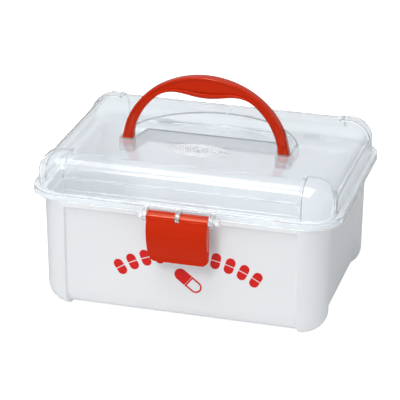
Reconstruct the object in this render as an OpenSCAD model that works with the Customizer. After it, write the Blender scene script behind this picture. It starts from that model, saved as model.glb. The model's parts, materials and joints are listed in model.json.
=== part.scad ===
/* [Case] */
// Width over the tub's corner posts at the top
tub_w = 222.4; // [200:0.1:240]
// Depth over the tub's corner posts at the top
tub_d = 167.6; // [150:0.1:190]
// How far the lid's rim stands out past the posts at each end
rim_end_reach = 8.8; // [7:0.1:11]
// How far the lid's rim stands out past the posts at the front and the back
rim_front_reach = 3.2; // [3:0.1:4.4]
// Corner radius of the rim, seen from above
rim_r = 25; // [22:0.5:30]
// Height to the top of the lid's corner posts
case_h = 124.4; // [118:0.1:130]
// Height of the rim's shelf above the table
shelf_z = 97.2; // [94:0.1:100]
// Wall thickness of both mouldings
wall = 1.8; // [1.4:0.1:2.2]
// Gap between the lid's skirt and the tub's flange
skirt_gap = 0.6; // [0.4:0.1:1]
// Gap between the closed lid's shelf and the tub's flange
seat_gap = 0.2; // [0.15:0.05:0.4]

/* [Tub] */
// How much narrower the tub is at its foot, in width
draft_w = 1.6; // [0:0.1:6]
// How much narrower the tub is at its foot, in depth
draft_d = 3.2; // [0:0.1:6]
// Corner radius of the posts, seen from above
tub_r = 21.6; // [19:0.1:24]
// Rounding of the bottom edge at the posts
foot_edge_r = 16; // [10:0.5:18]
// Rounding of the bottom edge between the posts
belly_edge_r = 18; // [10:0.5:19]
// How far the walls lie behind the posts
tub_inset = 2; // [1:0.1:2.4]
// How far the posts stand below the floor, as feet
foot_h = 0.9; // [0.5:0.1:2]
// Lower edge of the plain collar under the flange
collar_z = 86; // [80:0.5:88]
// Depth of the lip that turns down from the flange
lip_h = 3.6; // [2:0.1:4]
// Thickness of the floor
floor_t = 2.2; // [1.6:0.1:3]

/* [Lid] */
// Width of the rim's shelf in front of the lid's walls
shelf_reach = 4.7; // [4:0.1:6]
// Height of the skirt, shelf included
skirt_h = 5.7; // [5:0.1:7]
// Rounding of the corner posts and of the edges round the top
crown_r = 17.3; // [14:0.1:20]
// Height of the plinth at the foot of the walls
plinth_h = 2.8; // [2:0.1:4]
// Height of the step line round the walls
step_z = 110.2; // [106:0.1:112]
// How far the band under the step lies behind the posts
band_inset = 1; // [0.6:0.1:1.4]
// How far the walls over the step lie behind the posts
crown_inset = 2.2; // [1.6:0.1:2.8]
// How far the top lies below the tops of the posts
top_drop = 1; // [0.6:0.1:1.4]

/* [Posts] */
// Half the width of the panel between the front posts
panel_x = 90; // [80:0.5:92]
// Half the width of the panel between the side posts
panel_y = 58.5; // [50:0.5:60]

/* [Handle] */
// How far the handle and its recess sit to the right of the middle of the case
handle_x = 2.6; // [0:0.1:3]
// Distance of the handle's axis in front of the middle of the case
handle_back = 20; // [16:0.5:24]
// Depth of the handle's axis below the lid's top
handle_sunk = 4.9; // [4.5:0.1:6]
// Half the outer width of the bail
bail_x = 65.4; // [62:0.1:66]
// Outer height of the bail over its axis
bail_z = 59.8; // [56:0.1:61]
// Width of the strap at the legs
strap_w = 7.9; // [7:0.1:9]
// Width of the strap at the top, before the grip's belly
strap_top = 5.5; // [5:0.1:7]
// Depth of the strap from front to back
strap_d = 8; // [7:0.1:8]
// Rounding of the strap's edges
strap_edge = 1.5; // [1:0.1:2]
// How far the grip's belly hangs under the strap
belly_h = 11.8; // [8:0.1:13]
// Half the length of the grip's belly
belly_x = 39.5; // [34:0.5:42]
// Radius of the pins on the handle's feet
pivot_r = 2; // [1.6:0.1:2.4]
// Length of the pins on the handle's feet
pivot_l = 2.4; // [2:0.1:2.6]

/* [Handle recess] */
// Radius of the recess at the lid's top
recess_top_r = 69.4; // [68:0.1:71]
// Radius of the recess at its floor
recess_floor_r = 65; // [64.8:0.1:67]
// Depth of the recess under the lid's top
recess_h = 10.1; // [9.8:0.1:11]
// Gap beside the handle's legs in their slots
leg_gap = 0.6; // [0.4:0.1:0.8]

/* [Latch] */
// How far the latch and its axle sit to the right of the middle of the case
latch_shift = 2; // [0:0.1:3]
// Width of the latch
latch_w = 47; // [44:0.2:54]
// Distance of the latch's axle in front of the rim
axle_reach = 5; // [4.6:0.1:5.4]
// Height of the latch's axle above the table
axle_z = 92.4; // [91.8:0.1:93]
// Radius of the latch's barrel
barrel_r = 3.6; // [3.4:0.1:4]
// Radius of the axle
axle_r = 1.5; // [1.2:0.1:1.8]
// Radius of the axle's heads
head_r = 2.9; // [2.4:0.1:3]
// Length of each of the axle's heads
head_l = 4; // [2:0.1:4.4]
// Thickness of the latch's plate
plate_t = 2; // [1.6:0.1:2.2]
// How far the plate stands in front of the axle
plate_reach = 5.4; // [5:0.1:5.4]
// Height of the bend across the plate
bend_z = 70; // [68:0.5:74]
// Height of the latch's lower edge
latch_foot_z = 55.4; // [54:0.1:60]
// How far the plate's lower part leans in
plate_lean = 4.6; // [3:0.1:5]
// Radius of the plate's lower corners
plate_corner_r = 6; // [4:0.5:8]
// Depth of the ribs along the plate's sides
side_rib_d = 5; // [4:0.1:5.5]
// Thickness of the ears that hold the axle
ear_t = 3.2; // [2.6:0.1:3.6]
// Radius of the ears that hold the axle
ear_r = 5; // [4.6:0.1:5.2]
// Gap between the latch and the ears
ear_gap = 0.4; // [0.3:0.1:0.6]
// Underside of the tub's catch
catch_z = 65.6; // [64:0.1:68]
// Half the width of the tub's catch
catch_x = 17; // [12:0.5:20]
// How far the catch stands out of the tub's wall
catch_reach = 5; // [4:0.1:5.2]
// Gap between the latch's hook and the catch
hook_gap = 0.5; // [0.4:0.1:0.8]

/* [Hinges] */
// Distance of each hinge from the middle of the case
hinge_x = 62; // [50:1:70]
// Distance of the hinges' axis behind the rim
hinge_reach = 5.6; // [5.2:0.1:5.6]
// Height of the hinges' axis above the table
hinge_z = 86.4; // [86:0.1:86.6]
// Radius of the tub's hinge ears
hinge_ear_r = 4.8; // [4.4:0.1:4.8]
// Radius of the lid's knuckles
knuckle_r = 4.3; // [4:0.1:4.4]
// Width of the lid's knuckles
knuckle_w = 11.8; // [10:0.2:14]
// Thickness of the tub's hinge ears
hinge_ear_t = 3.2; // [2.6:0.1:3.6]
// Radius of the hinge pins
pin_r = 1.5; // [1.2:0.1:1.8]
// Radius of the hinge pins' heads
pin_head_r = 2.5; // [2.2:0.1:2.8]
// Thickness of the hinge pins' heads
pin_head_l = 1.2; // [0.8:0.1:1.6]

/* [Fits] */
// Radial play of a part that turns on a pin
running_fit = 0.06; // [0.03:0.01:0.1]
// Radial squeeze of a pin that is pressed into its ear
press_fit = 0.02; // [0.01:0.01:0.04]

/* [Hidden] */

// Roundness of exact circles and of blended shells
$fn = 96;
shell_fn = 48;
edge_fn = 16;
// Angle between the points of the bail's curves
bail_step = 6;
// A length that cuts clear through
through = 400;
// A small overlap that lets two solids merge
bite = 0.4;
// A small overshoot that lets a cut break through a face
over = 1;
// How far a web stays inside the round ear that it carries
ease = 0.8;

// Rim sizes that follow from the tub's
rim_w = tub_w + 2 * rim_end_reach;
rim_d = tub_d + 2 * rim_front_reach;

// Lid sizes that follow from the others
lid_w = rim_w - 2 * shelf_reach;
lid_d = rim_d - 2 * shelf_reach;
skirt_z = shelf_z - skirt_h;
lid_top = case_h - top_drop;
shelf_t = wall;
plinth_z = shelf_z + plinth_h;

// Tub sizes that follow from the others
flange_z = shelf_z - shelf_t - seat_gap;
flange_w = rim_w - 2 * (wall + skirt_gap);
flange_d = rim_d - 2 * (wall + skirt_gap);
flange_r = rim_r - wall - skirt_gap;
lip_t = 1.4;

// Axes
handle_y = -handle_back;
handle_z = lid_top - handle_sunk;
axle_y = -(rim_d / 2 + axle_reach);
hinge_y = rim_d / 2 + hinge_reach;

// Handle slots in the lid
leg_in = bail_x - strap_w - leg_gap;
leg_out = bail_x + leg_gap;
leg_front = handle_y - strap_d / 2 - leg_gap / 2;
leg_back = handle_y + strap_d / 4;
// Where the folded strap's inner curve crosses the front edge of the recess
leg_root_in = leg_in * sqrt(1 - pow(handle_y / (bail_z - strap_top - leg_gap), 2)) - leg_gap;
recess_z = lid_top - recess_h;

// Latch sizes that follow from the others
latch_x = latch_w / 2;
ear_in = latch_x + ear_gap;
ear_out = ear_in + ear_t;
centre_ear = ear_t / 2;
plate_y = axle_y - plate_reach;
plate_top = axle_z;
side_rib_t = 1.8;
plate_chamfer = 0.8;

// Where the tub's front wall stands at the catch
wall_y = -(tub_d / 2 - tub_inset - draft_d / 2 * (1 - catch_z / flange_z));
catch_y = wall_y - catch_reach;
hook_x = catch_x - 2;
hook_t = 2.4;
hook_root_h = 5.5;

module rounded_rect(w, d, r) {
    square([w - 2 * r, d], center = true);
    square([w, d - 2 * r], center = true);
    for (x = [-1, 1], y = [-1, 1])
        translate([x * (w / 2 - r), y * (d / 2 - r)]) circle(r);
}

module slab(w, d, r, z0, z1) {
    translate([0, 0, z0]) linear_extrude(z1 - z0) rounded_rect(w, d, r);
}

// Cuts a profile drawn as [y, z] points and extrudes it along X
module along_x(x0, x1) {
    translate([x0, 0, 0]) rotate([90, 0, 90]) linear_extrude(x1 - x0) children();
}

module x_cylinder(x0, x1, y, z, r) {
    translate([x0, y, z]) rotate([0, 90, 0]) cylinder(h = x1 - x0, r = r);
}

module corner_boxes(px, py, z0, z1) {
    for (x = [-1, 1], y = [-1, 1])
        translate([x * (px + through / 2), y * (py + through / 2), (z0 + z1) / 2])
            cube([through, through, z1 - z0], center = true);
}

// A disc with a rounded lower edge, the corner of a moulded tub
module soft_disc(r, edge) {
    rotate_extrude($fn = shell_fn) {
        translate([0, edge]) square([r, edge / 4]);
        square([r - edge, edge]);
        intersection() {
            translate([r - edge, edge]) circle(edge, $fn = shell_fn);
            square([r, edge]);
        }
    }
}

// A drafted tub form: inset by d from the posts' outer faces
module tub_form(d, edge, z0, z1) {
    r = tub_r - d;
    x_top = tub_w / 2 - d - r;
    y_top = tub_d / 2 - d - r;
    x_foot = x_top - draft_w / 2;
    y_foot = y_top - draft_d / 2;
    hull() {
        for (x = [-1, 1], y = [-1, 1]) {
            translate([x * x_foot, y * y_foot, z0]) soft_disc(r, edge);
            translate([x * x_top, y * y_top, z1 - over])
                cylinder(h = over, r = r, $fn = shell_fn);
        }
    }
}

// An upright corner column with a domed top
module bullet(r, z0, z) {
    rotate_extrude() {
        translate([0, z0]) square([r, z - z0]);
        intersection() {
            translate([0, z]) circle(r);
            translate([0, z]) square(r);
        }
    }
}

// A flat section with round upper corners
module arch(w, r, z0, z) {
    translate([-w / 2, z0]) square([w, z - z0]);
    translate([r - w / 2, z0]) square([w - 2 * r, z + r - z0]);
    intersection() {
        for (s = [-1, 1]) translate([s * (w / 2 - r), z]) circle(r);
        translate([-w / 2, z]) square([w, r]);
    }
}

// A box with round upright edges and a round edge along its top
module crown(inset, z0, top) {
    r = crown_r - inset;
    x = lid_w / 2 - crown_r;
    y = lid_d / 2 - crown_r;
    z = top - r;
    for (sx = [-1, 1], sy = [-1, 1]) translate([sx * x, sy * y, 0]) bullet(r, z0, z);
    translate([-x, 0, 0]) rotate([90, 0, 90]) linear_extrude(2 * x) arch(2 * (y + r), r, z0, z);
    translate([0, y, 0]) rotate([90, 0, 0]) linear_extrude(2 * y) arch(2 * (x + r), r, z0, z);
}

module base_tub() {
    color([0.93, 0.94, 0.95]) {
        difference() {
            union() {
                tub_shell();
                tub_flange();
                tub_catch();
                tub_hinge_ears();
            }
            for (s = [-1, 1]) hinge_bore(s, pin_r - press_fit);
        }
    }
}

module tub_shell() {
    top = flange_z;
    difference() {
        union() {
            tub_form(tub_inset, belly_edge_r, foot_h, top);
            intersection() {
                tub_form(0, foot_edge_r, 0, top);
                union() {
                    corner_boxes(panel_x, panel_y, -over, top + over);
                    slab(rim_w, rim_d, rim_r, collar_z, top + over);
                }
            }
        }
        tub_form(tub_inset + wall, belly_edge_r - wall, foot_h + floor_t, top + 2 * over);
        intersection() {
            tub_form(wall, foot_edge_r - wall, floor_t, top + 2 * over);
            union() {
                corner_boxes(panel_x + wall, panel_y + wall, floor_t, top + 3 * over);
                slab(rim_w, rim_d, rim_r, collar_z + wall, top + 3 * over);
            }
        }
    }
}

module tub_flange() {
    inner_w = tub_w - 2 * bite;
    inner_d = tub_d - 2 * bite;
    difference() {
        slab(flange_w, flange_d, flange_r, flange_z - wall, flange_z);
        slab(inner_w, inner_d, tub_r - bite, flange_z - 2 * wall, flange_z + over);
    }
    difference() {
        slab(flange_w, flange_d, flange_r, flange_z - lip_h, flange_z - bite);
        slab(
            flange_w - 2 * lip_t, flange_d - 2 * lip_t, flange_r - lip_t,
            flange_z - lip_h - over, flange_z
        );
        slab(inner_w, inner_d, tub_r - bite, flange_z - lip_h - over, flange_z);
    }
}

// The ledge under which the latch's hook snaps
module tub_catch() {
    ledge_t = 2.4;
    brace_t = 2;
    translate([latch_shift, 0, 0]) along_x(-catch_x, catch_x) polygon([
        [wall_y + bite, catch_z], [catch_y, catch_z],
        [catch_y, catch_z + ledge_t / 2], [catch_y + ledge_t / 2, catch_z + ledge_t],
        [wall_y + bite, catch_z + ledge_t]
    ]);
    for (x = [-catch_x, -brace_t / 2, catch_x - brace_t])
        translate([latch_shift + x, 0, 0]) along_x(0, brace_t) polygon([
            [wall_y + bite, catch_z + bite], [catch_y + ledge_t / 2, catch_z + ledge_t],
            [wall_y, catch_z + ledge_t + catch_reach],
            [wall_y + bite, catch_z + ledge_t + catch_reach]
        ]);
}

// Ears on the back wall, each with a brace that runs down the wall
module tub_hinge_ears() {
    back = tub_d / 2 - bite;
    brace_h = 11;
    web = hinge_ear_r - ease;
    for (s = [-1, 1], e = [-1, 1]) {
        x = s * hinge_x + e * (knuckle_w / 2 + ear_gap + hinge_ear_t / 2);
        along_x(x - hinge_ear_t / 2, x + hinge_ear_t / 2) {
            translate([hinge_y, hinge_z]) circle(hinge_ear_r);
            polygon([
                [back, hinge_z + web], [hinge_y, hinge_z + web],
                [hinge_y + web / 2, hinge_z - web], [back, hinge_z - brace_h]
            ]);
        }
        translate([x - hinge_ear_t / 2, back - tub_inset - wall / 2, hinge_z - brace_h])
            cube([hinge_ear_t, tub_inset + wall / 2 + bite, brace_h]);
    }
}

module hinge_bore(s, r) {
    x_cylinder(s * hinge_x - hinge_x / 2, s * hinge_x + hinge_x / 2, hinge_y, hinge_z, r);
}

module lid() {
    color([0.86, 0.9, 0.93, 0.45]) {
        difference() {
            union() {
                lid_shell();
                lid_rim();
                recess_well();
                latch_ears();
                lid_knuckles();
            }
            recess_cut();
            for (s = [-1, 1]) hinge_bore(s, pin_r + running_fit);
            x_cylinder(-through / 8, through / 8, axle_y, axle_z, axle_r - press_fit);
            pivot_bores();
        }
    }
}

module lid_shell() {
    difference() {
        union() {
            crown(crown_inset, shelf_z - bite, lid_top);
            slab(
                lid_w - 2 * band_inset, lid_d - 2 * band_inset, crown_r - band_inset,
                shelf_z - bite, step_z
            );
            slab(lid_w, lid_d, crown_r, shelf_z - bite, plinth_z);
            intersection() {
                crown(0, shelf_z - bite, case_h);
                corner_boxes(panel_x, panel_y, skirt_z, case_h + over);
            }
        }
        crown(crown_inset + wall, shelf_z - wall, lid_top - wall);
        slab(
            lid_w - 2 * (band_inset + wall), lid_d - 2 * (band_inset + wall),
            crown_r - band_inset - wall, shelf_z - wall, step_z - wall
        );
        intersection() {
            crown(wall, shelf_z - wall, case_h - wall);
            corner_boxes(panel_x + wall, panel_y + wall, skirt_z, case_h);
        }
    }
}

module lid_rim() {
    difference() {
        slab(rim_w, rim_d, rim_r, skirt_z, shelf_z);
        slab(rim_w - 2 * wall, rim_d - 2 * wall, rim_r - wall, skirt_z - over, shelf_z - shelf_t);
        slab(
            lid_w - 2 * (band_inset + wall), lid_d - 2 * (band_inset + wall),
            crown_r - band_inset - wall, skirt_z, shelf_z + over
        );
    }
}

// Walls and floor of the recess, under the lid's top
module recess_well() {
    h = recess_h + wall;
    top = lid_top - wall / 2;
    intersection() {
        translate([handle_x, handle_y, recess_z - wall])
            cylinder(h = h - wall / 2, r1 = recess_floor_r + wall, r2 = recess_top_r + wall);
        translate([-through / 2, -wall, 0]) cube([through, through, top]);
    }
    leg_slots(wall, recess_z - wall, top);
}

module recess_cut() {
    intersection() {
        translate([handle_x, handle_y, recess_z])
            cylinder(h = recess_h, r1 = recess_floor_r, r2 = recess_top_r);
        translate([-through / 2, 0, 0]) cube(through);
    }
    leg_slots(0, recess_z, lid_top + over);
}

// Slots that the handle's legs stand in, and fold back through into the recess
module leg_slots(grow, z0, z1) {
    translate([handle_x, 0, z0]) for (s = [0, 1]) mirror([s, 0, 0])
        linear_extrude(z1 - z0) polygon([
            [leg_in - grow, leg_front - grow], [leg_in - grow, leg_back],
            [leg_root_in - grow, bite], [leg_out + grow, bite],
            [leg_out + grow, leg_front - grow]
        ]);
}

module pivot_bores() {
    for (s = [0, 1]) translate([handle_x, 0, 0]) mirror([s, 0, 0]) x_cylinder(
        leg_out - over, leg_out + wall + over, handle_y, handle_z, pivot_r + running_fit
    );
}

module latch_ears() {
    root = -(rim_d / 2 - wall / 2);
    web = ear_r - ease;
    for (x = [-ear_out, -centre_ear, ear_in]) translate([latch_shift + x, 0, 0]) along_x(0, ear_t) {
        translate([axle_y, axle_z]) circle(ear_r);
        polygon([
            [root, skirt_z], [root, shelf_z + web / 2], [axle_y + web / 2, axle_z + web],
            [axle_y, axle_z - web]
        ]);
    }
}

module lid_knuckles() {
    root = rim_d / 2 - wall / 2;
    neck_t = 3;
    for (s = [-1, 1]) {
        x = s * hinge_x - knuckle_w / 2;
        along_x(x, x + knuckle_w) {
            translate([hinge_y, hinge_z]) circle(knuckle_r);
            polygon([
                [root, skirt_z + bite], [root, shelf_z], [root + neck_t, shelf_z],
                [hinge_y + knuckle_r, hinge_z + knuckle_r / 2], [hinge_y + knuckle_r, hinge_z],
                [hinge_y - knuckle_r, hinge_z]
            ]);
        }
    }
}

// Outline points of the bail, drawn e inside its outer and inner curves
function bail_outer(e) = [
    for (a = [0:bail_step:180]) [(bail_x - e) * cos(a), (bail_z - e) * sin(a)]
];
function belly(x) = abs(x) < belly_x ? belly_h * pow(cos(90 * x / belly_x), 2) : 0;
function bail_inner(e) = [
    for (a = [180:-bail_step:0]) let (
        x = (bail_x - strap_w + e) * cos(a),
        z = (bail_z - strap_top + e) * sin(a)
    ) [x, z - belly(x)]
];

module handle() {
    color([0.82, 0.17, 0.08]) translate([handle_x, handle_y, handle_z]) {
        rotate([90, 0, 0]) minkowski() {
            translate([0, 0, strap_edge - strap_d / 2])
                linear_extrude(strap_d - 2 * strap_edge)
                    polygon(concat(bail_outer(strap_edge), bail_inner(strap_edge)));
            sphere(strap_edge, $fn = edge_fn);
        }
        for (s = [-1, 1]) {
            foot = bail_x - strap_w + strap_edge / 4;
            x_cylinder(
                s > 0 ? foot : -(bail_x - strap_edge / 4),
                s > 0 ? bail_x - strap_edge / 4 : -foot, 0, 0, strap_d / 2
            );
            x_cylinder(
                s > 0 ? bail_x - over : -(bail_x + pivot_l),
                s > 0 ? bail_x + pivot_l : over - bail_x, 0, 0, pivot_r
            );
        }
    }
}

// Latch plate profile as [y, z] points: its outer face, then its inner face
function plate_profile() = [
    [plate_y + plate_chamfer, plate_top], [plate_y, plate_top - plate_chamfer],
    [plate_y, bend_z], [plate_y + plate_lean, latch_foot_z],
    [plate_y + plate_lean + plate_t, latch_foot_z], [plate_y + plate_t, bend_z - ease],
    [plate_y + plate_t, axle_z - barrel_r + ease], [axle_y, axle_z]
];

module latch() {
    color([0.82, 0.17, 0.08]) translate([latch_shift, 0, 0]) difference() {
        union() {
            intersection() {
                union() {
                    along_x(-latch_x, latch_x) polygon(plate_profile());
                    latch_side_ribs();
                }
                latch_outline();
            }
            x_cylinder(-latch_x, latch_x, axle_y, axle_z, barrel_r);
            latch_hook();
        }
        centre_slot();
        x_cylinder(-latch_w, latch_w, axle_y, axle_z, axle_r + running_fit);
    }
}

// The plate's outline seen from the front, with round lower corners
module latch_outline() {
    mid = (latch_foot_z + axle_z) / 2;
    translate([0, axle_y + through / 8, 0]) rotate([90, 0, 0]) linear_extrude(through / 4) {
        translate([0, (latch_foot_z + plate_corner_r + axle_z + barrel_r) / 2])
            square([latch_w, axle_z + barrel_r - latch_foot_z - plate_corner_r], center = true);
        translate([0, (latch_foot_z + mid) / 2])
            square([latch_w - 2 * plate_corner_r, mid - latch_foot_z], center = true);
        for (s = [-1, 1])
            translate([s * (latch_x - plate_corner_r), latch_foot_z + plate_corner_r])
                circle(plate_corner_r);
    }
}

module latch_side_ribs() {
    mid = plate_t / 2;
    for (x = [-latch_x, latch_x - side_rib_t]) along_x(x, x + side_rib_t) polygon([
        [plate_y + mid, plate_top - mid], [plate_y + mid, bend_z],
        [plate_y + plate_lean + mid, latch_foot_z + mid],
        [plate_y + plate_lean + plate_t + ease, latch_foot_z + mid],
        [plate_y + side_rib_d + plate_t, bend_z + plate_t],
        [plate_y + side_rib_d + plate_t, plate_top - mid]
    ]);
}

// A tongue behind the plate whose tip snaps under the tub's catch
module latch_hook() {
    tip = catch_y - hook_gap;
    root = plate_y + plate_t - bite;
    along_x(-hook_x, hook_x) polygon([
        [root, bend_z - hook_gap], [tip - hook_t, catch_z - hook_gap],
        [tip, catch_z - hook_gap], [tip - ease, catch_z - hook_gap - hook_t],
        [root, bend_z - hook_gap - hook_root_h]
    ]);
}

// The slot in the barrel for the middle ear
module centre_slot() {
    slot = centre_ear + ear_gap;
    x_cylinder(-slot, slot, axle_y, axle_z, ear_r + 2 * ear_gap);
}

module latch_axle() {
    color([0.9, 0.93, 0.95, 0.6]) translate([latch_shift, 0, 0]) {
        x_cylinder(-ear_out - bite, ear_out + bite, axle_y, axle_z, axle_r);
        for (x = [-ear_out - head_l, ear_out])
            x_cylinder(x, x + head_l, axle_y, axle_z, head_r);
    }
}

module hinge_pin(s) {
    half = knuckle_w / 2 + ear_gap + hinge_ear_t;
    x = s * hinge_x;
    color([0.9, 0.93, 0.95]) {
        x_cylinder(x - half, x + half, hinge_y, hinge_z, pin_r);
        x_cylinder(
            s > 0 ? x + half : x - half - pin_head_l, s > 0 ? x + half + pin_head_l : x - half,
            hinge_y, hinge_z, pin_head_r
        );
    }
}

module hinge_pin_left() {
    hinge_pin(-1);
}

module hinge_pin_right() {
    hinge_pin(1);
}

base_tub();
lid();
handle();
latch();
latch_axle();
hinge_pin_left();
hinge_pin_right();
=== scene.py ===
# %% [markdown]
# A household medicine case, dressed for its portrait. The real thing is four injection
# mouldings and a few pins: a milky white tub, a clear lid that hinges at the back, a red
# handle that stands in two slots of the lid, and a red latch on a clear axle. The solids come
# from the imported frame. This lesson rebuilds the visible mouldings with the soft edges,
# drafted walls and thin plastic that the plain solids leave out.

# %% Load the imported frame
import bpy
import bmesh
import json
import math
from mathutils import Matrix, Vector

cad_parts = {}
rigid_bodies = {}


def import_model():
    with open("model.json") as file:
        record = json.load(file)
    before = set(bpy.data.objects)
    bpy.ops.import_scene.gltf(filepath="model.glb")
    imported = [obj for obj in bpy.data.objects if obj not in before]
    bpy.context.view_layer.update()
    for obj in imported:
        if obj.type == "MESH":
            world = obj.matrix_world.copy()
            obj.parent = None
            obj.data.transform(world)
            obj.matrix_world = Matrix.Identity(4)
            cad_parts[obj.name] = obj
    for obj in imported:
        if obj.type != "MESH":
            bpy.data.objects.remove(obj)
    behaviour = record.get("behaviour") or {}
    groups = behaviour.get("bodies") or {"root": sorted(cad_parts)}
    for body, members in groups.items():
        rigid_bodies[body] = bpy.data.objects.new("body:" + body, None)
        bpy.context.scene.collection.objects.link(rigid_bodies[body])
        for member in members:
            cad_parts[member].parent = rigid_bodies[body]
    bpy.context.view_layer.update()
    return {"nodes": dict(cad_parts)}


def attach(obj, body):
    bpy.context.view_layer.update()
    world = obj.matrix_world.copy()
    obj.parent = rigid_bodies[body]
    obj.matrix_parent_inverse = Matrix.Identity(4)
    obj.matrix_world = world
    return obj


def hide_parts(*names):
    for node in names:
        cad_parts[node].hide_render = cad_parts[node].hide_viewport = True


for leftover in list(bpy.data.objects):
    bpy.data.objects.remove(leftover)
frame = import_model()
MM = 0.001

# %% [markdown]
# The camera stands where the photographer stood. Its place was worked out from the picture by
# fitting the edges of the case, so that every piece can be set by its real size. A long lens
# from 1.6 m away gives the gentle perspective of a catalogue picture.

# %% Camera at the photograph's angle
CAMERA_TURN, CAMERA_RISE, CAMERA_ROLL = 15.442, 23.196, 0.502
CAMERA_FAR = 1642.322
AIM = Vector((0, 0, 60))
AIM_RIGHT, AIM_UP = -6.766, 7.87
FOCAL_PIXELS, FRAME_PIXELS, SENSOR = 2099.357, 400, 36.0


def new_object(name, data):
    """Adds an object with this camera, lamp or mesh to the scene."""
    obj = bpy.data.objects.new(name, data)
    bpy.context.scene.collection.objects.link(obj)
    return obj


def place_camera():
    turn, rise, roll = map(math.radians, (CAMERA_TURN, CAMERA_RISE, CAMERA_ROLL))
    back = Vector((math.sin(turn) * math.cos(rise), -math.cos(turn) * math.cos(rise),
                   math.sin(rise)))
    right = Vector((math.cos(turn), math.sin(turn), 0))
    up = back.cross(right)
    across = right * math.cos(roll) + up * math.sin(roll)
    upright = up * math.cos(roll) - right * math.sin(roll)
    stand = (AIM + right * AIM_RIGHT + up * AIM_UP + back * CAMERA_FAR) * MM
    data = bpy.data.cameras.new("photo_camera")
    data.sensor_fit = "HORIZONTAL"
    data.sensor_width = SENSOR
    data.lens = FOCAL_PIXELS * SENSOR / FRAME_PIXELS
    data.clip_start, data.clip_end = 0.05, 30
    camera = new_object("photo_camera", data)
    matrix = Matrix((across, upright, back)).transposed().to_4x4()
    matrix.translation = stand
    camera.matrix_world = matrix
    bpy.context.scene.camera = camera
    return camera


photo_camera = place_camera()
print("camera lens", round(photo_camera.data.lens, 2), "mm at", photo_camera.location[:])

# %% [markdown]
# Both big mouldings share one idea: flat wall panels that lie a little behind round corner
# posts. One level of such a moulding is a closed ring of points. It runs along half a side
# panel, steps softly out to the post, goes round the post and comes back to the next panel.
# A stack of rings, skinned with quads, is a loft. Lofting suits mouldings better than
# booleans here, because every edge can be given its real softness.

# %% Rings of a moulding with corner posts
STEP_HALF = 0.7
PANEL_N, STEP_N, STRAIGHT_N, ARC_N = 6, 4, 2, 12


def smooth(t):
    t = min(max(t, 0.0), 1.0)
    return t * t * (3 - 2 * t)


def spread(start, end, n):
    """n + 1 evenly spaced values from start to end."""
    return [start + (end - start) * i / n for i in range(n + 1)]


def mirror_quarter(quarter):
    left_back = [(-x, y, z) for x, y, z in reversed(quarter)][1:]
    left_front = [(-x, -y, z) for x, y, z in quarter][1:]
    right_front = [(x, -y, z) for x, y, z in reversed(quarter)][1:-1]
    return quarter + left_back + left_front + right_front


def post_side(out, step, post_out, post_along, r, panel_z, post_z):
    """(out, along, z) points from a panel's middle, over its step, to the post's corner."""
    def post(along):
        return post_out + math.sqrt(max(r * r - max(along - post_along, 0) ** 2, 0))

    first = step + STEP_HALF
    last = max(post_along, first)
    line = [(out, along, panel_z) for along in spread(0, step - STEP_HALF, PANEL_N)]
    for t in spread(0, 1, STEP_N)[1:]:
        along, s = first + 2 * STEP_HALF * (t - 1), smooth(t)
        line.append((out + (post(along) - out) * s, along, panel_z + (post_z - panel_z) * s))
    line += [(post(along), along, post_z) for along in spread(first, last, STRAIGHT_N)[1:]]
    return line, last


def post_ring(level):
    """level: panel half sizes and height, post centre, radius and height, step lines."""
    wx, wy, wz, cx, cy, r, pz, sx, sy = level
    side, y1 = post_side(wx, sy, cx, cy, r, wz, pz)
    back, x1 = post_side(wy, sx, cy, cx, r, wz, pz)
    a0 = math.asin(min((y1 - cy) / r, 1)) if r else 0
    a1 = math.acos(min((x1 - cx) / r, 1)) if r else math.pi / 2
    corner = [(cx + r * math.cos(a), cy + r * math.sin(a), pz)
              for a in spread(a0, a1, ARC_N)[1:]]
    return mirror_quarter(side + corner + [(x, y, z) for y, x, z in back[-2::-1]])


def plateau_ring(half_x, half_y, panel_z, post_z, sx, sy, like):
    """A rectangular ring over a flat top whose corners are posts of another height."""
    ring = []
    for x, y, _ in post_ring(like):
        x = math.copysign(min(abs(x), half_x), x)
        y = math.copysign(min(abs(y), half_y), y)
        rise = smooth((abs(x) - sx + STEP_HALF) / (2 * STEP_HALF))
        rise *= smooth((abs(y) - sy + STEP_HALF) / (2 * STEP_HALF))
        ring.append((x, y, panel_z + (post_z - panel_z) * rise))
    return ring


def even_level(half_x, half_y, r, z, sx, sy):
    """A level without panels: one rounded rectangle."""
    return (half_x, half_y, z, half_x - r, half_y - r, r, z, sx, sy)


def blend_levels(a, b, t):
    return tuple(p + (q - p) * t for p, q in zip(a, b))


def level_gap(a, b):
    panel = math.hypot(a[0] - b[0], a[2] - b[2])
    post = math.hypot(a[3] + a[5] - b[3] - b[5], a[6] - b[6])
    side = math.hypot(a[4] + a[5] - b[4] - b[5], a[6] - b[6])
    return max(panel, post, side, 1e-6)


def soften(levels, bend_n=4):
    """levels: (level, fillet) pairs. Each corner of the profile gets its own rounding."""
    out = [levels[0][0]]
    for (before, _), (level, fillet), (after, _) in zip(levels, levels[1:], levels[2:]):
        if not fillet:
            out.append(level)
            continue
        start = blend_levels(level, before, min(fillet / level_gap(level, before), 0.5))
        end = blend_levels(level, after, min(fillet / level_gap(level, after), 0.5))
        out += [blend_levels(blend_levels(start, level, t), blend_levels(level, end, t), t)
                for t in spread(0, 1, bend_n)]
    return out + [levels[-1][0]]


print("points in a ring:", len(post_ring(even_level(100, 80, 20, 0, 70, 50))))

# %% [markdown]
# A ring is only a list of points in millimetres. The next helpers turn rings into a mesh: they
# skin neighbours with quads, close flat ends, merge points that fell on each other, and turn
# every face outwards. Weighted normals keep the big flat faces flat beside their small
# rounded edges, which is what makes moulded plastic look moulded.

# %% Helpers that skin, close and join
MERGE = 2e-6


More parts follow.
